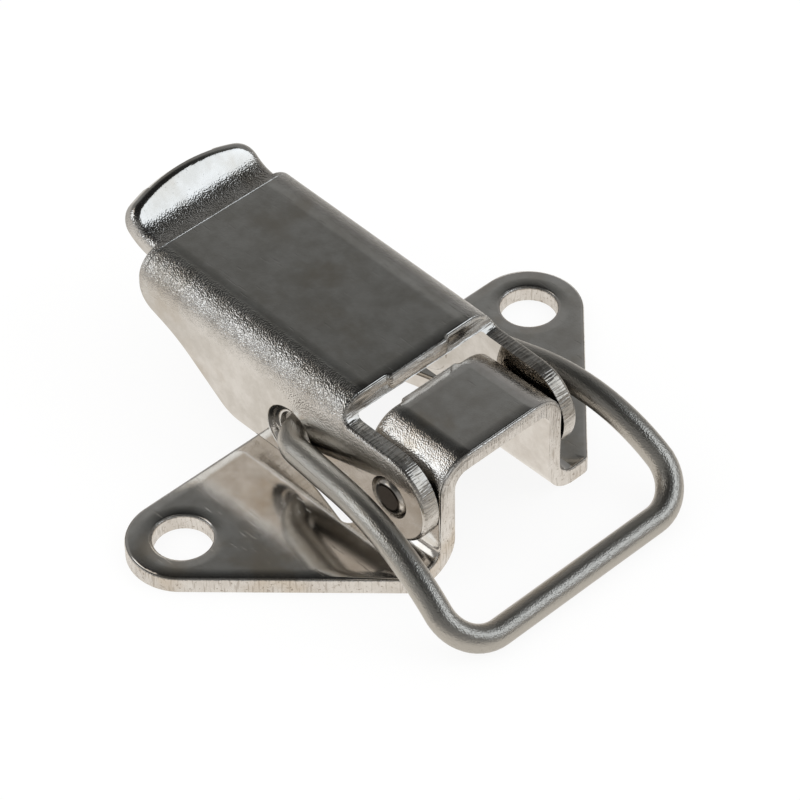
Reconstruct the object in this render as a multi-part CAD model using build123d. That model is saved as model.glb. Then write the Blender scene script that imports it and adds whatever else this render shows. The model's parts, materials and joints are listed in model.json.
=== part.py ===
from build123d import *
from math import acos, asin, atan2, cos, degrees, hypot, radians, sin, tan
import os

# Over centre toggle latch, shown closed. Millimetres.
# Frame: origin midway between the two screw holes on the mounting face, +X the way the
# bail pulls, +Y along the row of screw holes, +Z up off the mounting face.
# The latch is symmetric about the XZ plane.

# --- Sheet and wire -------------------------------------------------------------------
SHEET = 1.6  # both pressings are bent from one gauge
WIRE_R = 1.25  # bail wire
PIN_R = 1.8
EDGE_ROLL = 0.35  # soft upper edge that the punch leaves on a sheared outline
FLUSH = 1e-3  # what counts as lying on a surface
SEAM_COS = 0.9  # two faces with normals closer than this meet in a smooth seam

# --- Base plate -----------------------------------------------------------------------
HOLE_SPACING = 42.0
HOLE_R = 2.6
TIP_R = 5.0  # wing tip, concentric with its screw hole
NOSE_X = 17.5  # front end of the wings and of the bridge
NOSE_FLAT = 1.72  # front edge of a wing, from the foot of the bridge to the sloping edge
NOSE_CORNER_R = 1.0
WING_ROOT_Y = 6.3  # inner corner of a wing on its back edge
HEEL_CORNER_R = 0.6
RELIEF_FLAT = 1.25  # back edge of the foot, out to where the inner edge of a wing starts
RELIEF_R = 0.8
BRIDGE_LENGTH = 8.7
BRIDGE_HALF_WIDTH = 7.25  # outer faces of the side walls
BRIDGE_TOP_Z = 11.87
BRIDGE_BEND_R = 1.4  # inner radius of the two top bends
FOOT_BEND_R = 1.6  # inner radius of the two bends from wall to wing
LIP_STEP = 0.3  # the flat of a folded edge stands this much proud of its bends
LIP_EASE_R = 0.45
BRIDGE_LIP_INSET = 0.95  # from the start of a bend to the corner of that flat

# --- Pivot ----------------------------------------------------------------------------
PIVOT_SETBACK = 4.4  # behind the front end
PIVOT_Z = 7.3
PIN_PLAY = 0.08  # radial, ear on pin
PIN_PROUD = 0.15  # pin ends beyond the outer faces of the ears
PIN_END_R = 0.45
EYE_MOUTH = (0.2, 0.6)  # flared mouth that the punch leaves: radial, deep

# --- Lever (own frame: origin on the pivot axis, top plate level, nose towards +X) ----
LEVER_TILT = 2.0  # degrees, tail up, with the latch closed
SIDE_PLAY = 0.25  # between a bridge wall and the flange beside it
EAR_R = 4.35
LEVER_RISE = 1.71  # its top plate above the top of the bridge
LEVER_LENGTH = 31.85  # pivot to the back end of the flanges
LEVER_BEND_R = 0.4  # inner radius of the two long bends
LEVER_BEND_THINS = 0.65  # their outer radius is this much more than one sheet larger
LEVER_NOSE_X = -6.05  # front edge of the bends
NOSE_FLARE_R = 1.2  # from that edge down into the ear
LEVER_LIP_INSET = 3.0
KNEE = (11.65, -4.92)  # corner of the deep part of a flange: ahead of its back end, and up
KNEE_R = 4.0
HAUNCH = (4.9, -0.35)  # where the flange runs out into the shallow tail, likewise
HAUNCH_R = 15.0
TAIL_Z = 1.25  # lower back corner of a flange
TAIL_R = 2.4

# --- Finger tab: the back of the top plate, bent up -------------------------------------
TAB_INSET = 1.8  # each side, from the outer face of a flange
TAB_BEND_R = 3.4  # inner (upper) radius
TAB_BEND_AHEAD = 0.12  # lowest line of the bend, ahead of the back end of the flanges
TAB_DIP = 0.06  # that line lies this much below the plate, which leaves a crease
TAB_ANGLE = 41.0  # degrees up from the plate
TAB_FLAT = 2.8  # from the end of the bend to the middle of the tip
TAB_TIP_R = 19.0
TAB_CORNER_R = 2.1
TAB_CUT_Y = 3.9  # the tip is cut off its strip between two small steps
TAB_CUT_STEP = 0.1
TAB_ROLL = 0.8  # its upper rim is rounded for the finger

# --- Bail -----------------------------------------------------------------------------
BAIL_PIVOT = (-12.35, -1.35)  # in the lever's frame
BAIL_PLAY = 0.3  # radial, the bail hangs loosely in its holes
BAIL_MOUTH = (0.2, 0.4)  # flared mouth of that hole: radial, deep
DIMPLE_LAND = 0.1  # flat floor of the dish round the mouth
DIMPLE_RUN = 1.0  # from the floor out to the rim
DIMPLE_DEPTH = 0.65
DIMPLE_SPREAD = 0.3  # extra radius of the bulge that the dimple raises inside
BAIL_END_PROUD = 0.35  # wire ends beyond that bulge
ELBOW_NEST = 0.35  # how much deeper the elbow lies than a wire that rests on the flange
ELBOW_INNER_R = 1.75  # inside of that bend, which runs on into the mouth of the hole
KINK = (0.06, 2.77, 8.45)  # where an arm turns down: ahead of the nose, out from the elbow, up
KINK_R = 18.5
HOOK_AHEAD = 9.08  # crossbar that hooks over the keeper, ahead of the nose
HOOK_SPLAY = 3.59  # its corners, out from the elbow
HOOK_R = 3.93
WIRE_END_BREAK = 0.25

# --- Worked out -----------------------------------------------------------------------
LEVER_INNER_Y = BRIDGE_HALF_WIDTH + SIDE_PLAY
LEVER_OUTER_Y = LEVER_INNER_Y + SHEET
LEVER_TOP_Z = BRIDGE_TOP_Z + LEVER_RISE - PIVOT_Z
LEVER_BEND_OUTER_R = LEVER_BEND_R + SHEET + LEVER_BEND_THINS
BRIDGE_BACK_X = NOSE_X - BRIDGE_LENGTH
FOOT_END_Y = BRIDGE_HALF_WIDTH + FOOT_BEND_R
PIVOT_X = NOSE_X - PIVOT_SETBACK
LEVER_PLACE = Pos(PIVOT_X, 0, PIVOT_Z) * Rot(0, LEVER_TILT, 0)
TAIL_X = -LEVER_LENGTH
TAB_BEND_X = TAIL_X + TAB_BEND_AHEAD
TAB_BEND_Z = LEVER_TOP_Z - TAB_DIP + TAB_BEND_R
BAIL_HOLE_R = WIRE_R + BAIL_PLAY
DIMPLE_FLOOR_R = BAIL_HOLE_R + BAIL_MOUTH[0] + DIMPLE_LAND
ELBOW_Y = LEVER_OUTER_Y + WIRE_R - ELBOW_NEST


def folded_section(outer, inner):
    """Face of a folded sheet between its two skins."""
    ends = [Line(outer @ end, inner @ end) for end in (0, 1)]
    return make_face(Curve() + [outer, inner] + ends)


def across(section, x_from, x_to):
    """Section drawn as (y, z) and extruded along X."""
    start = Plane(origin=(x_from, 0, 0), x_dir=(0, 1, 0), z_dir=(1, 0, 0))
    return extrude(start * section, x_to - x_from)


def along_y(section, half_width):
    """Section drawn as (x, z) and extruded both ways from the mid plane."""
    return extrude(Plane.XZ * section, half_width, both=True)


def fold(*half_points, radii):
    """Symmetric folded line: the half with positive Y, outermost point first, is given."""
    other_half = [(-y, z) for y, z in reversed(half_points)]
    return FilletPolyline(*half_points, *other_half, radius=radii + radii[::-1])


def is_corner(edge, body):
    """True where two faces meet at a real angle, not along a smooth seam."""
    sides = [face for face in body.faces() if any(edge.is_same(other) for other in face.edges())]
    middle = edge @ 0.5
    if len(sides) < 2:
        return False
    return sides[0].normal_at(middle).dot(sides[1].normal_at(middle)) < SEAM_COS


def rolled(body, radius, on_skin):
    """Soften the edges whose middle lies on a skin and which are real corners."""
    rim = [edge for edge in body.edges() if on_skin(edge @ 0.5) and is_corner(edge, body)]
    return fillet(rim, radius)


def in_section(path, point):
    """True where a point lies on a folded line extruded along X."""
    return path.distance_to(Vertex(point.Y, point.Z, 0)) < FLUSH


def bar_y(x, z, radius, y_from, y_to):
    """Round bar parallel to Y."""
    start = Plane(origin=(x, y_from, z), x_dir=(1, 0, 0), z_dir=(0, 1, 0))
    return extrude(start * Circle(radius), y_to - y_from)


def lip(half_width):
    """Flat middle of a folded edge, proud towards +X of the bends beside it, with eased ends."""
    ramp = LIP_STEP / 2
    root_y = half_width + 3 * LIP_STEP
    half = [(-LIP_STEP, root_y), (0, root_y), (0, half_width + ramp), (LIP_STEP, half_width - ramp)]
    other_half = [(x, -y) for x, y in reversed(half)]
    radii = [0, 0, LIP_EASE_R, LIP_EASE_R]
    plan = FilletPolyline(*half, *other_half, radius=radii + radii[::-1], close=True)
    return extrude(make_face(plan), -SHEET)


# --- Base plate -----------------------------------------------------------------------
def wing():
    """Right-hand wing, flat, with its screw hole."""
    hole_y, nose_y = HOLE_SPACING / 2, FOOT_END_Y + NOSE_FLAT
    span = hypot(NOSE_X, hole_y - nose_y)
    slope = atan2(hole_y - nose_y, NOSE_X) + asin(TIP_R / span)  # that edge is tangent to the tip
    outline = FilletPolyline(
        (-TIP_R, WING_ROOT_Y),
        (-TIP_R, nose_y + (NOSE_X + TIP_R) * tan(slope)),
        (NOSE_X, nose_y),
        (NOSE_X, FOOT_END_Y),
        (BRIDGE_BACK_X, FOOT_END_Y),
        (BRIDGE_BACK_X, FOOT_END_Y + RELIEF_FLAT),
        radius=[HEEL_CORNER_R, TIP_R, NOSE_CORNER_R, 0, 0, RELIEF_R],
        close=True,
    )
    hole = Pos(0, hole_y) * Circle(HOLE_R)
    return extrude(make_face(outline) - hole, SHEET)


def bridge_skin(half_width, top_z, foot_z, foot_r, bend_r):
    """Folded line over the bridge, ending in a stub of each wing."""
    stub_y = FOOT_END_Y + SHEET / 2
    points = [(stub_y, foot_z), (half_width, foot_z), (half_width, top_z)]
    return fold(*points, radii=[foot_r, bend_r])


def base_plate():
    """Wings and bridge, one pressing: wing, wall, top, wall, wing."""
    outer_r = BRIDGE_BEND_R + SHEET
    outer = bridge_skin(BRIDGE_HALF_WIDTH, BRIDGE_TOP_Z, SHEET, FOOT_BEND_R, outer_r)
    inner_y, inner_z = BRIDGE_HALF_WIDTH - SHEET, BRIDGE_TOP_Z - SHEET
    inner = bridge_skin(inner_y, inner_z, 0, FOOT_BEND_R + SHEET, BRIDGE_BEND_R)
    hat = across(folded_section(outer, inner), BRIDGE_BACK_X, NOSE_X)
    flat_lip = lip(BRIDGE_HALF_WIDTH - outer_r - BRIDGE_LIP_INSET)
    back_lip = Pos(BRIDGE_BACK_X, 0, BRIDGE_TOP_Z) * mirror(flat_lip, Plane.YZ)
    plate = (hat + back_lip + wing() + mirror(wing(), Plane.XZ)).clean()
    plate = rolled(plate, EDGE_ROLL, lambda p: in_section(outer, p) or abs(p.Z - SHEET) < FLUSH)
    return plate - bar_y(PIVOT_X, PIVOT_Z, PIN_R, -LEVER_INNER_Y, LEVER_INNER_Y)


# --- Lever ----------------------------------------------------------------------------
def flange_outline():
    """Side view of the lever: ear, deep flange, shallow tail and top plate."""
    knee, haunch = [(TAIL_X + ahead, up) for ahead, up in (KNEE, HAUNCH)]
    touch = atan2(knee[1], knee[0]) + acos(EAR_R / hypot(*knee))  # lower edge, tangent to the ear
    outline = FilletPolyline(
        (0, EAR_R),
        (LEVER_NOSE_X, EAR_R),
        (LEVER_NOSE_X, LEVER_TOP_Z),
        (TAIL_X, LEVER_TOP_Z),
        (TAIL_X, TAIL_Z),
        haunch,
        knee,
        (EAR_R * cos(touch), EAR_R * sin(touch)),
        radius=[NOSE_FLARE_R, 0, 0, TAIL_R, HAUNCH_R, KNEE_R],
    )
    ear = ThreePointArc((0, EAR_R), (EAR_R, 0), outline @ 1)
    return make_face(Curve() + [outline, ear])


def lever_channel():
    """Top plate and flanges: a folded channel trimmed to the side outline."""
    foot_z = -2 * EAR_R
    inner_z = LEVER_TOP_Z - SHEET
    outer = fold((LEVER_OUTER_Y, foot_z), (LEVER_OUTER_Y, LEVER_TOP_Z), radii=[LEVER_BEND_OUTER_R])
    inner = fold((LEVER_INNER_Y, foot_z), (LEVER_INNER_Y, inner_z), radii=[LEVER_BEND_R])
    channel = across(folded_section(outer, inner), TAIL_X, EAR_R)
    channel = channel & along_y(flange_outline(), LEVER_OUTER_Y)
    nose_lip = lip(LEVER_OUTER_Y - LEVER_BEND_OUTER_R - LEVER_LIP_INSET)
    channel = (channel + Pos(LEVER_NOSE_X, 0, LEVER_TOP_Z) * nose_lip).clean()
    return rolled(channel, EDGE_ROLL, lambda p: in_section(outer, p))


def tab_outline():
    """Outline of the tab seen square to its flat, with X from the bend to the tip."""
    width = 2 * (LEVER_OUTER_Y - TAB_INSET)
    blank = Rectangle(TAB_TIP_R + TAB_FLAT, width, align=(Align.MIN, Align.CENTER))
    blank = Pos(-TAB_TIP_R, 0) * blank & Pos(TAB_FLAT - TAB_TIP_R, 0) * Circle(TAB_TIP_R)
    return fillet(blank.vertices().group_by(Axis.X)[-1], TAB_CORNER_R)


def tip_cut():
    """Sliver that the shear takes off the middle of the tip, between two small steps."""
    strip = Rectangle(TAB_TIP_R, 2 * TAB_CUT_Y, align=(Align.MIN, Align.CENTER))
    return strip - Pos(TAB_FLAT - TAB_TIP_R, 0) * Circle(TAB_TIP_R - TAB_CUT_STEP)


def finger_tab():
    """Tab from the crease back to its tip: a bend, a short flat and a bowed end."""
    axis = (TAB_BEND_X, TAB_BEND_Z)
    lead = degrees(acos(1 - TAB_DIP / TAB_BEND_R))  # the crease is this far before the lowest line
    back, up = cos(radians(TAB_ANGLE)), sin(radians(TAB_ANGLE))
    skins = []
    for radius in (TAB_BEND_R, TAB_BEND_R + SHEET):
        bend = CenterArc(axis, radius, lead - 90, -(lead + TAB_ANGLE))
        end = bend @ 1
        skins += [bend, Line(end, end + Vector(-back, up) * TAB_FLAT)]
    ends = [Line(skins[0] @ 0, skins[2] @ 0), Line(skins[1] @ 1, skins[3] @ 1)]
    band = along_y(make_face(Curve() + skins + ends), LEVER_OUTER_Y - TAB_INSET)
    bend_end = skins[1] @ 0
    flat = Plane(origin=(bend_end.X, 0, bend_end.Y), x_dir=(-back, 0, up), z_dir=(up, 0, back))
    tab = band & extrude(flat * tab_outline(), TAB_TIP_R, both=True)
    upper_skin = CenterArc(axis, TAB_BEND_R, -90, -TAB_ANGLE) + skins[1]
    tab = rolled(tab, TAB_ROLL, lambda p: upper_skin.distance_to(Vertex(p.X, p.Z, 0)) < FLUSH)
    return tab - extrude(flat * tip_cut(), TAB_TIP_R, both=True)


def dimple(floor_r):
    """Shallow round dish, depth along -Y from the XZ plane, with an S-shaped side."""
    rim_r = floor_r + DIMPLE_RUN
    bend_r = (DIMPLE_RUN**2 + DIMPLE_DEPTH**2) / (4 * DIMPLE_DEPTH)
    middle = ((rim_r + floor_r) / 2, -DIMPLE_DEPTH / 2)
    upper = RadiusArc((rim_r, 0), middle, -bend_r)
    lower = RadiusArc(middle, (floor_r, -DIMPLE_DEPTH), bend_r)
    floor = Polyline((floor_r, -DIMPLE_DEPTH), (0, -DIMPLE_DEPTH), (0, 0), (rim_r, 0))
    return revolve(make_face(Curve() + [upper, lower, floor]), Axis.Y)


def punched(body, x, z, hole_r, mouth, face_y):
    """Body with a hole through both flanges, flared where it opens outwards at a given Y."""
    flare, depth = mouth
    cone = Cone(hole_r + flare, hole_r, depth, align=(Align.CENTER, Align.CENTER, Align.MIN))
    flared = Pos(x, face_y, z) * Rot(90, 0, 0) * cone
    reach = LEVER_OUTER_Y + SHEET
    return body - bar_y(x, z, hole_r, -reach, reach) - flared - mirror(flared, Plane.XZ)


def lever():
    """One folded sheet, in its closed position."""
    crease = along_y(Pos(TAB_BEND_X, TAB_BEND_Z) * Circle(TAB_BEND_R), LEVER_OUTER_Y)
    body = lever_channel() - crease + finger_tab()
    bail_x, bail_z = BAIL_PIVOT
    dish = Pos(bail_x, LEVER_OUTER_Y, bail_z) * dimple(DIMPLE_FLOOR_R)
    bulge = Pos(bail_x, LEVER_INNER_Y, bail_z) * dimple(DIMPLE_FLOOR_R + DIMPLE_SPREAD)
    body = body + bulge + mirror(bulge, Plane.XZ) - dish - mirror(dish, Plane.XZ)
    dish_y = LEVER_OUTER_Y - DIMPLE_DEPTH
    body = punched(body, bail_x, bail_z, BAIL_HOLE_R, BAIL_MOUTH, dish_y)
    return LEVER_PLACE * punched(body, 0, 0, PIN_R + PIN_PLAY, EYE_MOUTH, LEVER_OUTER_Y)


# --- Pin and bail ---------------------------------------------------------------------
def lever_pin():
    """Plain pin held in both bridge walls; the ears turn on its ends."""
    half = LEVER_OUTER_Y + PIN_PROUD
    pin = bar_y(PIVOT_X, PIVOT_Z, PIN_R, -half, half)
    return fillet(pin.edges().filter_by(GeomType.CIRCLE), PIN_END_R)


def bail():
    """Wire loop: inturned end, elbow, splayed arm, crossbar, and the same back again."""
    pivot = LEVER_PLACE * Pos(BAIL_PIVOT[0], 0, BAIL_PIVOT[1])
    x, z = pivot.position.X, pivot.position.Z
    end_y = LEVER_INNER_Y - DIMPLE_DEPTH - BAIL_END_PROUD
    ahead, splay, up = KINK
    kink = (NOSE_X + ahead, ELBOW_Y + splay, up)
    hook = (NOSE_X + HOOK_AHEAD, ELBOW_Y + HOOK_SPLAY, WIRE_R)
    half = [(x, end_y, z), (x, ELBOW_Y, z), kink, hook]
    route = half + [(px, -py, pz) for px, py, pz in reversed(half)]
    radii = [WIRE_R + ELBOW_INNER_R, KINK_R, HOOK_R]
    path = FilletPolyline(*route, radius=radii + radii[::-1])
    wire = sweep(Plane(origin=path @ 0, z_dir=path % 0) * Circle(WIRE_R), path=path)
    rims = wire.edges().filter_by(GeomType.CIRCLE).sort_by(lambda edge: abs(edge.center().Y))
    return fillet(rims[:2], WIRE_END_BREAK)


NODES = {
    "base_plate": base_plate,
    "lever": lever,
    "lever_pin": lever_pin,
    "bail": bail,
}

os.makedirs("parts", exist_ok=True)
for name, build in NODES.items():
    export_step(build(), f"parts/{name}.step")
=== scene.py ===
import json
from functools import partial
from math import cos, pi, radians, sin, sqrt, tan
import bpy
from mathutils import Matrix, Vector


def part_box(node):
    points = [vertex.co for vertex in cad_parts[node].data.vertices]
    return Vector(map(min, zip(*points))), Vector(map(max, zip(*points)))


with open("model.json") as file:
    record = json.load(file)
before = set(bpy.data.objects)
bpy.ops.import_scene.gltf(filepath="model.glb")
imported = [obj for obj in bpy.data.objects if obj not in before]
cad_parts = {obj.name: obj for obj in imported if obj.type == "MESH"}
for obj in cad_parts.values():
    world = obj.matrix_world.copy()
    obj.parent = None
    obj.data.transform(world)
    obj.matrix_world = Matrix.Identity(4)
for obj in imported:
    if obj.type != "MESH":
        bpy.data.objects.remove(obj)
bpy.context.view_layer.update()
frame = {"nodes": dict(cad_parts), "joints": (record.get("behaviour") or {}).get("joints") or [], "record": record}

# Over centre toggle latch: two nickel-plated pressings, a pivot pin and a wire bail.
# The camera and the studio are in metres, and every size of a finish is in millimetres.
# +X is the way the bail pulls, +Y runs along the screw holes, +Z is up. The latch is
# symmetric about the XZ plane.

MM = 0.001
SMOOTH = {"interpolation_type": "SMOOTHSTEP"}  # a range that eases in and out
FACTOR, FROM, TO = 0, 2, 3  # sockets of a Mix node that blends two numbers
COLOUR_FROM, COLOUR_TO, COLOUR_OUT = 6, 7, 2  # and of one that blends two colours

# --- Camera ---------------------------------------------------------------------------
CAMERA_AZIMUTH = -43.416  # degrees from +X
CAMERA_ELEVATION = 43.218
CAMERA_ROLL = -0.802
CAMERA_DISTANCE = 339.125 * MM
CAMERA_TARGET = Vector((-0.481, 5.181, 0)) * MM
SENSOR = 36.0
LENS = 171.37
CLIP = (0.01, 20.0)

# --- Studio ---------------------------------------------------------------------------
WHITE = "#FFFFFF"
PAPER = "#FBFAF8"
PAPER_IN_METAL = "#FEF9F2"  # the paper bounces warm light into the metal
TABLE_DUSK = "#B4B2AE"
TABLE_SIZE = 6.0
TABLE_GLOW = 0.88  # share of plain white in the table that the eye and the metal see
TABLE_LIT = (0.015, 0.07)  # the metal sees the table darken from here to there
LAMP_DISTANCE = 0.55
LAMPS = {  # azimuth, elevation, width and height in degrees, then radiance and colour
    "softbox_right": (42, 38, 34, 34, 1.32, "#EDF6FF"),
    "softbox_left": (-131, 26, 32, 30, 1.45, "#F4FAFF"),
    "panel_above_left": (-133, 46, 36, 10, 0.64, "#FFF3E6"),
}
ROOM = {  # what the metal mirrors, by height above the table in degrees
    0: "#9C9B99",
    7: "#959493",
    25: "#868686",
    41: "#838483",
    43: "#737473",
    46: "#666766",
    57: "#303131",
    90: "#202020",
}

# --- Sizes read from the frame, in millimetres ----------------------------------------
BASE_LOW, BASE_HIGH = (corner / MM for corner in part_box("base_plate"))
PIVOT = Vector(frame["joints"][0]["pos_m"]) / MM
HOLES = frame["record"]["mounts"][0]["dims"]
HOLE_Y = HOLES["spacing_y_mm"] / 2
HOLE_R = HOLES["hole_r_mm"]
TIP_R = -BASE_LOW.x
NOSE_X = BASE_HIGH.x
BRIDGE_TOP = BASE_HIGH.z
LEVER_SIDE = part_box("lever")[1].y / MM

# --- Sizes that the frame doesn't hold, in millimetres --------------------------------
SHEET = 1.6
LEVER_TILT = radians(2)  # the lever's tail stands this much up with the latch closed
LEVER_TOP = 6.28  # above the pivot, square to the tilt
LEVER_BEND = 2.65  # outer radius of the long bends
LEVER_NOSE = -6.0  # front end of the top plate, behind the pivot
TAB_CREASE = -31.1
BRIDGE_SIDE = 7.25
BRIDGE_BACK = 8.8
BRIDGE_BEND = 3.0
FOOT_END = 8.85  # where the bend from a bridge wall runs out into its wing
PIN_R = 1.8

# --- Where each finish eases in and is full, in millimetres from the place it is about ---
LEVER_PEEL_Y = (-0.4, 1.0)  # about the start of the long bend
LEVER_PEEL_Z = (-2.4, 0.4)
TAB_START = (0.0, -0.1)  # about the tab's crease
TAB_FLAT = (-0.8, -3.6)
FLANGE_EDGE = (-0.1, -0.05)  # about the flange's inner face
UNDER_BEND = (0.3, 0.0)  # about the start of the long bend
EAR_START = (0.4, 0.8)  # about the front end of the top plate
NOSE_EDGE = (-3.0, -2.0)
TOP_PLATE = (-1.0, -0.4)  # about the lever's top
BRIDGE_PEEL_Y = (-0.3, 1.0)  # about the start of the bridge's bend
BRIDGE_PEEL_Z = (-1.5, 0.0)
WING_START = (-0.05, 0.0)  # about the foot of the bridge
# the painted highlight on the pin's rim eases in about its radius
PIN_RIM_START = (-0.45, -0.25)  # about the pin's radius

# --- How squarely a face looks along an axis before it counts, 1 being dead on -----------
NOT_SIDEWAYS = (0.75, 0.45)
FRONTWARD = (0.5, 0.75)
BACKWARD = (-0.75, -0.9)
UPWARD = (0.2, 0.6)
FRONT_OR_BACK = (0.40, 0.65)
UPRIGHT = (0.85, 0.6)

# --- Nickel plate on pressed sheet ----------------------------------------------------
# Lever and base are the same nickel plate; the lever's tones are a painted shade darker than the base's
LEVER_NICKEL_PAINTED_DARKER = ("#C4C0BA", "#D8D5D1", "#BEB7AD")  # the plate, where it is pale, and stained
BASE_NICKEL = ("#CFCAC4", "#E1DEDA", "#CDC3B6")
NICKEL_DULL = "#8D8275"
LEVER_ROUGH = (0.05, 0.10)  # the lever has come out of the press brighter
BASE_ROUGH = (0.10, 0.16)
PEEL_ROUGH = 0.20
EDGE_ROUGH = (0.20, 0.32)
SHEET_GRAIN = {  # period in mm, detail, roughness
    "cloud": (2.6, 5.0, 0.65),  # the plate is paler in drifts
    "stain": (7.0, 4.0, 0.60),  # and yellows in a few broad patches
    "fleck": (0.30, 3.0, 0.50),  # bare dots on the sheared edges
    "smear": (1.3, 4.0, 0.60),  # handling dulls it unevenly
    "swell": (4.5, 1.0, 0.50),  # the rolled sheet is not perfectly flat
    "pebble": (0.125, 0.0, 0.50),  # orange peel, where a bend has stretched the skin
    "knobble": (0.28, 0.0, 0.50),  # the coarser part of it
    "scratch": (0.22, 1.0, 0.50),  # short scratches from handling
    "speck": (0.28, 1.0, 0.50),  # dust under the plate, drawn coarser than life to show
    "drag": (0.17, 1.0, 0.30),  # lines dragged by the shear, also coarser than life
    "tear": (0.6, 4.0, 0.50),  # ragged line where the clean shear gives way
}
SHEET_SHOWS = {  # level of each grain at which it begins to show, and is full
    "cloud": (0.3, 0.7),
    "stain": (0.5, 0.72),
    "fleck": (0.58, 0.72),
    "drag": (0.52, 0.72),
    "speck": (0.83, 0.88),
    "scratch": (0.70, 0.78),
}
FLECK_BARE = 0.7  # how bare the dots and the drag lines get
DRAG_BARE = 0.4
LEVER_DRAG = (1, 0.12, 1)  # the shear drags its lines out through the sheet's thickness
BASE_DRAG = (1, 1, 0.12)
SWELL_HEIGHT = 0.012
PEBBLE_HEIGHT = 0.065
KNOBBLE_HEIGHT = 0.02
SCRATCH_DEPTH = 0.005
SCRATCH_LAY = {"Rotation": (0, 0, radians(24)), "Scale": (0.10, 1, 1)}  # lengthwise, aslant
SPECK_HEIGHT = 0.02
DRAG_HEIGHT = 0.05
TEAR_DEPTH = (0.45, 1.05)  # mm below the skin, where the torn part may begin
TEAR_LEAN = 0.10  # slope of the torn part
BRIDGE_PEEL = 0.45  # share of the pebble on the bridge, which is bent less sharply
FAINT_PEEL = 0.02  # share of it on the flats
TAB_SMOOTH = 0.95  # share that the flat of the tab loses
SMOOTH_SKIN = 0.8  # mm deep, where the inside of a bend is squeezed smooth
LEVER_SHOULDER = (-1.1, 1.3, 0.12)  # mm: start and end beside the bend, and how far it falls
BRIDGE_SHOULDER = (-0.7, 1.9, 0.48)  # a tighter tool: the bridge turns down sooner
CREASE_WIDTH = 0.13  # mm: the press line under the thumb tab
CREASE_HEIGHT = 0.065
ROLL_WIDTH = 1.25  # mm: the skin dips towards a sheared edge
ROLL_DEPTH = 0.11

# --- Drawn wire and pin ---------------------------------------------------------------
WIRE_NICKEL = "#C6C2BB"
WIRE_SHADE = "#A6A29B"
WIRE_ROUGH = (0.24, 0.33)
WIRE_LINES = {"Scale": 9.0, "Detail": 5.0, "Roughness": 0.7}  # spread round the wire
WIRE_LINE_HEIGHT = 0.012
WIRE_GRIT_HEIGHT = 0.032
WIRE_GRIT = 0.13  # mm, coarser than life to show
# Pin end colours: a dark centre painted as shade, and a pale rim painted as a highlight
PIN_PAINTED_SHADE = "#38322C"
PIN_PAINTED_HIGHLIGHT = "#D8D2CA"
PIN_ROUGH = (0.16, 0.30)
PIN_MARK = 0.3  # mm between the marks of the cutter
PIN_MARK_HEIGHT = 0.02
PIN_CROWN = (1.12, 0.32)  # mm: the cut end is level out to here, and falls this far


def linear(hex_code):
    """sRGB hex to the linear colour that Blender's sockets take."""
    channels = [int(hex_code[i : i + 2], 16) / 255 for i in (1, 3, 5)]
    curve = [c / 12.92 if c <= 0.04045 else ((c + 0.055) / 1.055) ** 2.4 for c in channels]
    return (*curve, 1.0)


def direction(azimuth, elevation):
    """Unit vector at these angles in degrees, azimuth from +X."""
    a, e = radians(azimuth), radians(elevation)
    return Vector((cos(a) * cos(e), sin(a) * cos(e), sin(e)))


def put_in_scene(piece):
    """Link a new object to the scene and return it."""
    bpy.context.scene.collection.objects.link(piece)
    return piece


def add_node(tree, kind, *inputs, out=0, sockets=None, **settings):
    """Add a node with its settings and links; return one output, or all if out is None.

    The inputs fill its sockets in order, and the sockets named in a dict come after them.
    Each is a plain value or another node's output.
    """
    node = tree.nodes.new("ShaderNode" + kind)
    for name, value in settings.items():
        setattr(node, name, value)
    for socket, value in [*enumerate(inputs), *(sockets or {}).items()]:
        if isinstance(value, bpy.types.NodeSocket):
            tree.links.new(value, node.inputs[socket])
        else:
            node.inputs[socket].default_value = value
    return node.outputs if out is None else node.outputs[out]


def start_nodes(owner):
    """Empty the node tree of a material or a world, and return its own add_node."""
    owner.use_nodes = True
    owner.node_tree.nodes.clear()
    return partial(add_node, owner.node_tree)


def about(place, reach):
    """Both ends of a range that is measured from a place."""
    return place + reach[0], place + reach[1]


def mirrored(add, vector):
    """X, the size of Y, and Z: a finish is the same on both sides of the latch."""
    x, y, z = add("SeparateXYZ", vector, out=None)
    return x, add("Math", y, operation="ABSOLUTE"), z


def skin_depth(add, y, z, side, top, bend):
    """How deep a point lies under the outer skin of a folded channel."""
    point = add("CombineXYZ", 0.0, y, z)
    centre = (0.0, side - bend, top - bend)
    beyond = add("VectorMath", point, centre, operation="SUBTRACT")
    beyond = add("VectorMath", beyond, (0.0, 0.0, 0.0), operation="MAXIMUM")
    reach = add("VectorMath", beyond, out="Value", operation="LENGTH")
    return add("Math", bend, reach, operation="SUBTRACT")


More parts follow.
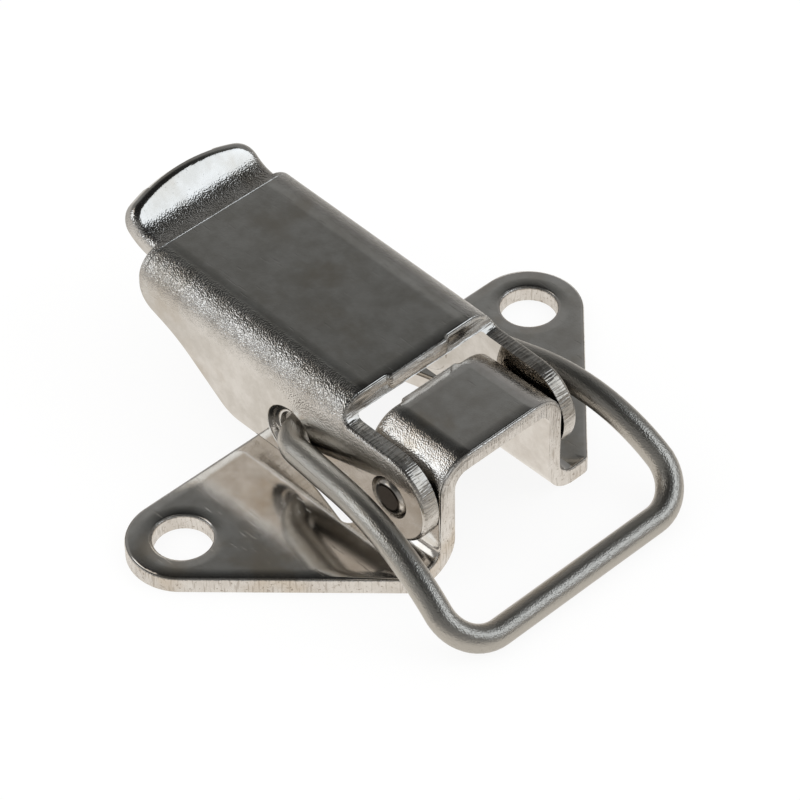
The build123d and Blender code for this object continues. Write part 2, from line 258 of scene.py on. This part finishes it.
def lever_zones(add, place, normal):
    """Lever: how much it is pebbled and sheared, depth below the skin, way to the rim, form."""
    x, y, z = mirrored(add, place)
    nx, ny, nz = mirrored(add, normal)
    bend_y = LEVER_SIDE - LEVER_BEND
    bend_z = LEVER_TOP - LEVER_BEND

    round_side = add("MapRange", y, *about(bend_y, LEVER_PEEL_Y), **SMOOTH)
    round_top = add("MapRange", z, *about(bend_z, LEVER_PEEL_Z), **SMOOTH)
    folded = add("Math", round_side, round_top, operation="MULTIPLY")
    tab = add("MapRange", x, *about(TAB_CREASE, TAB_START), **SMOOTH)
    tab_flat = add("MapRange", x, *about(TAB_CREASE, TAB_FLAT), 0.0, TAB_SMOOTH, **SMOOTH)
    curled = add("Math", tab, tab_flat, operation="SUBTRACT")
    peel = add("Math", folded, curled, operation="MAXIMUM")

    inner = LEVER_SIDE - SHEET
    on_flange = add("MapRange", y, *about(inner, FLANGE_EDGE), **SMOOTH)
    not_faced = add("MapRange", ny, *NOT_SIDEWAYS, **SMOOTH)
    below = add("MapRange", z, *about(bend_z, UNDER_BEND), **SMOOTH)
    ahead = add("MapRange", x, *about(LEVER_NOSE, EAR_START), **SMOOTH)
    edge = add("Math", below, ahead, operation="MAXIMUM")
    for share in (on_flange, not_faced):
        edge = add("Math", edge, share, operation="MULTIPLY")
    front = add("MapRange", x, *about(LEVER_NOSE, NOSE_EDGE), **SMOOTH)
    faces_front = add("MapRange", nx, *FRONTWARD, **SMOOTH)
    nose = add("Math", front, faces_front, operation="MULTIPLY")
    tail = add("MapRange", nx, *BACKWARD, **SMOOTH)
    for end in (nose, tail):
        edge = add("Math", edge, end, operation="MAXIMUM")

    to_nose = add("Math", LEVER_NOSE, x, operation="SUBTRACT")
    on_top = add("MapRange", z, *about(LEVER_TOP, TOP_PLATE), **SMOOTH)
    rim = add("Mix", sockets={FACTOR: on_top, FROM: ROLL_WIDTH, TO: to_nose}, data_type="FLOAT")

    across = about(TAB_CREASE, (CREASE_WIDTH / 2, -CREASE_WIDTH / 2))
    crease = add("MapRange", x, *across, 0.0, CREASE_HEIGHT, **SMOOTH)
    facing_up = add("MapRange", nz, *UPWARD, **SMOOTH)
    crease = add("Math", crease, facing_up, operation="MULTIPLY")
    *ease, fall = LEVER_SHOULDER
    shoulder = add("MapRange", y, *about(bend_y, ease), 0.0, -fall, **SMOOTH)
    form = add("Math", crease, shoulder, operation="ADD")
    depth = skin_depth(add, y, z, LEVER_SIDE, LEVER_TOP, LEVER_BEND)
    return peel, edge, depth, rim, form


def base_zones(add, place, normal):
    """Base plate: the same five."""
    x, y, z = mirrored(add, place)
    nx, _, nz = mirrored(add, normal)
    bend_y = BRIDGE_SIDE - BRIDGE_BEND
    bend_z = BRIDGE_TOP - BRIDGE_BEND

    round_side = add("MapRange", y, *about(bend_y, BRIDGE_PEEL_Y), **SMOOTH)
    round_top = add("MapRange", z, *about(bend_z, BRIDGE_PEEL_Z), 0.0, BRIDGE_PEEL, **SMOOTH)
    peel = add("Math", round_side, round_top, operation="MULTIPLY")

    on_wing = add("MapRange", y, *about(FOOT_END, WING_START), **SMOOTH)
    forward = add("Math", nx, operation="ABSOLUTE")
    faced = add("MapRange", forward, *FRONT_OR_BACK, **SMOOTH)
    upward = add("Math", nz, operation="ABSOLUTE")
    upright = add("MapRange", upward, *UPRIGHT, **SMOOTH)
    outline = add("Math", on_wing, upright, operation="MULTIPLY")
    edge = add("Math", faced, outline, operation="MAXIMUM")

    wall_depth = skin_depth(add, y, z, BRIDGE_SIDE, BRIDGE_TOP, BRIDGE_BEND)
    wing_depth = add("Math", SHEET, z, operation="SUBTRACT")
    depths = {FACTOR: on_wing, FROM: wall_depth, TO: wing_depth}
    depth = add("Mix", sockets=depths, data_type="FLOAT")

    # Ways to a wing's rims: the round tip, then the back and the slope that run off it.
    along = add("Math", y, HOLE_Y, operation="SUBTRACT")
    from_hole = add("CombineXYZ", x, along)
    reach = add("VectorMath", from_hole, out="Value", operation="LENGTH")
    to_hole = add("Math", reach, HOLE_R, operation="SUBTRACT")
    to_tip = add("Math", TIP_R, reach, operation="SUBTRACT")
    to_back = add("Math", x, TIP_R, operation="ADD")
    slant = add("Math", x, along, operation="ADD")
    to_slope = add("Math", slant, -1 / sqrt(2), TIP_R, operation="MULTIPLY_ADD")
    to_nose = add("Math", NOSE_X, x, operation="SUBTRACT")
    straight = add("Math", to_back, to_slope, operation="MINIMUM")
    ahead = add("Math", x, 0.0, operation="MAXIMUM")
    at_tip = add("Math", along, ahead, operation="GREATER_THAN")
    rim = add("Mix", sockets={FACTOR: at_tip, FROM: straight, TO: to_tip}, data_type="FLOAT")
    for other in (to_hole, to_nose):
        rim = add("Math", rim, other, operation="MINIMUM")
    to_bridge_back = add("Math", x, BRIDGE_BACK, operation="SUBTRACT")
    bridge_rim = add("Math", to_bridge_back, to_nose, operation="MINIMUM")
    rims = {FACTOR: on_wing, FROM: bridge_rim, TO: rim}
    rim = add("Mix", sockets=rims, data_type="FLOAT")

    *ease, fall = BRIDGE_SHOULDER
    shoulder = add("MapRange", y, *about(bend_y, ease), 0.0, -fall, **SMOOTH)
    return peel, edge, depth, rim, shoulder


def plated_sheet(name, zones, nickel, flat_rough, drag, tilt=0.0, origin=(0, 0, 0)):
    """Bright nickel plate on pressed steel: mirror-like on the flats, pebbled like orange
    peel on the bends, satin with drag lines through the thickness on the sheared edges."""
    material = bpy.data.materials.new(name)
    add = start_nodes(material)
    coords = add("TexCoord", out=None)
    turned = {"Rotation": (0, -tilt, 0)}
    moved = add("Mapping", coords["Object"], sockets={"Location": -Vector(origin) * MM})
    place = add("Mapping", moved, sockets={"Scale": (1 / MM,) * 3, **turned})
    normal = add("Mapping", coords["Normal"], sockets=turned)
    through = add("Mapping", place, sockets={"Scale": drag})
    aslant = add("Mapping", place, sockets=SCRATCH_LAY)
    peel, edge, depth, rim, form = zones(add, place, normal)

    grain = {}
    for layer, (period, detail, roughness) in SHEET_GRAIN.items():
        spot = {"drag": through, "tear": through, "scratch": aslant}.get(layer, place)
        look = {"Vector": spot, "Scale": 1 / period, "Detail": detail, "Roughness": roughness}
        grain[layer] = add("TexNoise", sockets=look)

    flat = add("Math", 1.0, edge, operation="SUBTRACT")
    outside = add("MapRange", depth, SMOOTH_SKIN, 0.0, **SMOOTH)
    for share in (flat, outside):
        peel = add("Math", peel, share, operation="MULTIPLY")
    peel = add("Math", peel, FAINT_PEEL, operation="MAXIMUM")

    pale = add("MapRange", grain["cloud"], *SHEET_SHOWS["cloud"], **SMOOTH)
    stained = add("MapRange", grain["stain"], *SHEET_SHOWS["stain"], **SMOOTH)
    bare = (0.0, FLECK_BARE)
    flecked = add("MapRange", grain["fleck"], *SHEET_SHOWS["fleck"], *bare, **SMOOTH)
    bare = (0.0, DRAG_BARE)
    scored = add("MapRange", grain["drag"], *SHEET_SHOWS["drag"], *bare, **SMOOTH)
    worn = add("Math", flecked, scored, operation="MAXIMUM")
    worn = add("Math", worn, edge, operation="MULTIPLY")
    colour = linear(nickel[0])
    for share, hex_code in ((pale, nickel[1]), (stained, nickel[2]), (worn, NICKEL_DULL)):
        layers = {FACTOR: share, COLOUR_FROM: colour, COLOUR_TO: linear(hex_code)}
        colour = add("Mix", sockets=layers, out=COLOUR_OUT, data_type="RGBA")

    rough = add("MapRange", grain["smear"], 0.0, 1.0, *flat_rough)
    edge_rough = add("MapRange", grain["smear"], 0.0, 1.0, *EDGE_ROUGH)
    for share, other in ((peel, PEEL_ROUGH), (edge, edge_rough)):
        roughs = {FACTOR: share, FROM: rough, TO: other}
        rough = add("Mix", sockets=roughs, data_type="FLOAT")

    dust = add("MapRange", grain["speck"], *SHEET_SHOWS["speck"], **SMOOTH)
    scratched = add("MapRange", grain["scratch"], *SHEET_SHOWS["scratch"], **SMOOTH)
    tear_line = add("MapRange", grain["tear"], 0.0, 1.0, *TEAR_DEPTH)
    torn = add("Math", depth, tear_line, operation="SUBTRACT")
    torn = add("Math", torn, 0.0, operation="MAXIMUM")
    near_rim = add("MapRange", rim, 0.0, ROLL_WIDTH, 1.0, 0.0)
    rolled = add("Math", near_rim, near_rim, operation="MULTIPLY")
    height = form
    for layer, share, amount in (
        (grain["swell"], 1.0, SWELL_HEIGHT),
        (grain["pebble"], peel, PEBBLE_HEIGHT),
        (grain["knobble"], peel, KNOBBLE_HEIGHT),
        (grain["drag"], edge, DRAG_HEIGHT),
        (torn, edge, -TEAR_LEAN),
        (dust, flat, SPECK_HEIGHT),
        (scratched, flat, -SCRATCH_DEPTH),
        (rolled, flat, -ROLL_DEPTH),
    ):
        shown = add("Math", layer, share, operation="MULTIPLY")
        height = add("Math", shown, amount, height, operation="MULTIPLY_ADD")
    bump = add("Bump", sockets={"Height": height, "Distance": MM})

    metal = {"Base Color": colour, "Metallic": 1.0, "Roughness": rough, "Normal": bump}
    add("OutputMaterial", add("BsdfPrincipled", sockets=metal), out=None)
    return material


def drawn_wire():
    """Nickel plate on drawn steel wire: satin, with fine draw lines along its length."""
    material = bpy.data.materials.new("nickel_plated_drawn_wire")
    add = start_nodes(material)
    coords = add("TexCoord", out=None)
    place = add("Mapping", coords["Object"], sockets={"Scale": (1 / MM,) * 3})
    lines = add("TexNoise", sockets={"Vector": coords["Normal"], **WIRE_LINES})
    grit = add("TexNoise", sockets={"Vector": place, "Scale": 1 / WIRE_GRIT, "Detail": 0.0})
    shades = {FACTOR: lines, COLOUR_FROM: linear(WIRE_SHADE), COLOUR_TO: linear(WIRE_NICKEL)}
    colour = add("Mix", sockets=shades, out=COLOUR_OUT, data_type="RGBA")
    rough = add("MapRange", lines, 0.0, 1.0, *WIRE_ROUGH)
    height = add("Math", lines, WIRE_LINE_HEIGHT, operation="MULTIPLY")
    height = add("Math", grit, WIRE_GRIT_HEIGHT, height, operation="MULTIPLY_ADD")
    bump = add("Bump", sockets={"Height": height, "Distance": MM})
    metal = {"Base Color": colour, "Metallic": 1.0, "Roughness": rough, "Normal": bump}
    add("OutputMaterial", add("BsdfPrincipled", sockets=metal), out=None)
    return material


def cropped_pin():
    """Plated steel pin cropped to length, with a rolled-over rim: its end is painted dark in the middle as shade,
    and pale at the rim as a highlight.
    """
    material = bpy.data.materials.new("nickel_plated_cropped_pin")
    add = start_nodes(material)
    coords = add("TexCoord", out=None)
    scaled = {"Scale": (1 / MM,) * 3, "Location": -PIVOT}
    x, _, z = add("SeparateXYZ", add("Mapping", coords["Object"], sockets=scaled), out=None)
    reach = add("VectorMath", add("CombineXYZ", x, z), out="Value", operation="LENGTH")
    level, fall = PIN_CROWN
    marks = {"Vector": coords["Object"], "Scale": 1 / (PIN_MARK * MM), "Detail": 4.0}
    marks = add("TexNoise", sockets=marks)
    # painted highlight towards the rim, painted shade towards the middle of the pin's end
    plated = add("MapRange", reach, *about(PIN_R, PIN_RIM_START), **SMOOTH)
    shades = {FACTOR: plated, COLOUR_FROM: linear(PIN_PAINTED_SHADE), COLOUR_TO: linear(PIN_PAINTED_HIGHLIGHT)}
    colour = add("Mix", sockets=shades, out=COLOUR_OUT, data_type="RGBA")
    rough = add("MapRange", marks, 0.0, 1.0, *PIN_ROUGH)
    crown = add("MapRange", reach, level, PIN_R, 0.0, -fall, **SMOOTH)
    height = add("Math", marks, PIN_MARK_HEIGHT, crown, operation="MULTIPLY_ADD")
    bump = add("Bump", sockets={"Height": height, "Distance": MM})
    metal = {"Base Color": colour, "Metallic": 1.0, "Roughness": rough, "Normal": bump}
    add("OutputMaterial", add("BsdfPrincipled", sockets=metal), out=None)
    return material


def finish_pieces():
    """Give each CAD node its material."""
    lever = (lever_zones, LEVER_NICKEL_PAINTED_DARKER, LEVER_ROUGH, LEVER_DRAG, LEVER_TILT, PIVOT)
    base = (base_zones, BASE_NICKEL, BASE_ROUGH, BASE_DRAG)
    finishes = {
        "lever": plated_sheet("nickel_plated_lever", *lever),
        "base_plate": plated_sheet("nickel_plated_base", *base),
        "bail": drawn_wire(),
        "lever_pin": cropped_pin(),
    }
    for node, material in finishes.items():
        piece = frame["nodes"][node]
        piece.data.materials.clear()
        piece.data.materials.append(material)


def paper_table():
    """Plain white paper on a table, which keeps the latch's soft shadow."""
    mesh = bpy.data.meshes.new("floor")
    half = TABLE_SIZE / 2
    corners = [(-half, -half, 0), (half, -half, 0), (half, half, 0), (-half, half, 0)]
    mesh.from_pydata(corners, [], [(0, 1, 2, 3)])
    material = bpy.data.materials.new("white_paper_table")
    add = start_nodes(material)
    rays = add("LightPath", out=None)
    coords = add("TexCoord", out=None)
    away = add("VectorMath", coords["Object"], out="Value", operation="LENGTH")
    dusk = add("MapRange", away, *TABLE_LIT, **SMOOTH)
    lit, dim = linear(PAPER_IN_METAL), linear(TABLE_DUSK)
    shades = {FACTOR: dusk, COLOUR_FROM: lit, COLOUR_TO: dim}
    in_metal = add("Mix", sockets=shades, out=COLOUR_OUT, data_type="RGBA")
    shades = {FACTOR: rays["Is Glossy Ray"], COLOUR_FROM: linear(WHITE), COLOUR_TO: in_metal}
    white = add("Mix", sockets=shades, out=COLOUR_OUT, data_type="RGBA")
    seen = add("Math", rays["Is Camera Ray"], rays["Is Glossy Ray"], operation="MAXIMUM")
    share = add("Math", seen, TABLE_GLOW, operation="MULTIPLY")
    paper = add("BsdfDiffuse", linear(PAPER))
    glow = add("Emission", white, 1.0)
    add("OutputMaterial", add("MixShader", share, paper, glow), out=None)
    mesh.materials.append(material)
    put_in_scene(bpy.data.objects.new("floor", mesh))


def studio_room():
    """Room seen in the metal: dark overhead, paler down to the table's edge."""
    world = bpy.data.worlds.new("studio")
    bpy.context.scene.world = world
    add = start_nodes(world)
    rays = add("LightPath", out=None)
    coords = add("TexCoord", out=None)
    height = add("SeparateXYZ", coords["Generated"], out=2)
    mirrored_room = add("ValToRGB", height)
    stops = mirrored_room.node.color_ramp.elements
    stops.remove(stops[0])
    for angle, hex_code in ROOM.items():
        stop = stops.new(sin(radians(angle))) if angle < 90 else stops[-1]
        stop.color = linear(hex_code)
    in_metal = add("Background", mirrored_room, 1.0)
    white = add("Background", linear(WHITE), 1.0)
    seen = add("MixShader", rays["Is Glossy Ray"], white, in_metal)
    add("OutputWorld", seen, out=None)


def softbox(name, azimuth, elevation, width, height, radiance, colour):
    """Rectangular soft light that faces the latch; its size is in degrees as seen from it."""
    data = bpy.data.lights.new(name, "AREA")
    data.shape = "RECTANGLE"
    data.size = 2 * LAMP_DISTANCE * tan(radians(width / 2))
    data.size_y = 2 * LAMP_DISTANCE * tan(radians(height / 2))
    data.energy = radiance * pi * data.size * data.size_y
    data.color = linear(colour)[:3]
    lamp = put_in_scene(bpy.data.objects.new(name, data))
    towards = direction(azimuth, elevation)
    lamp.location = towards * LAMP_DISTANCE
    lamp.rotation_euler = towards.to_track_quat("Z", "Y").to_euler()
    lamp.visible_camera = False


def camera():
    """Long lens, looking down on the latch from its right front quarter."""
    data = bpy.data.cameras.new("camera")
    data.sensor_width = SENSOR
    data.lens = LENS
    data.clip_start, data.clip_end = CLIP
    piece = put_in_scene(bpy.data.objects.new("camera", data))
    back = direction(CAMERA_AZIMUTH, CAMERA_ELEVATION)
    piece.location = CAMERA_TARGET + back * CAMERA_DISTANCE
    aim = back.to_track_quat("Z", "Y").to_matrix()
    roll = Matrix.Rotation(radians(CAMERA_ROLL), 3, "Z")
    piece.rotation_euler = (aim @ roll).to_euler()
    bpy.context.scene.camera = piece


camera()
finish_pieces()
paper_table()
studio_room()
for lamp_name, lamp in LAMPS.items():
    softbox(lamp_name, *lamp)
bpy.context.scene.view_settings.view_transform = "Standard"
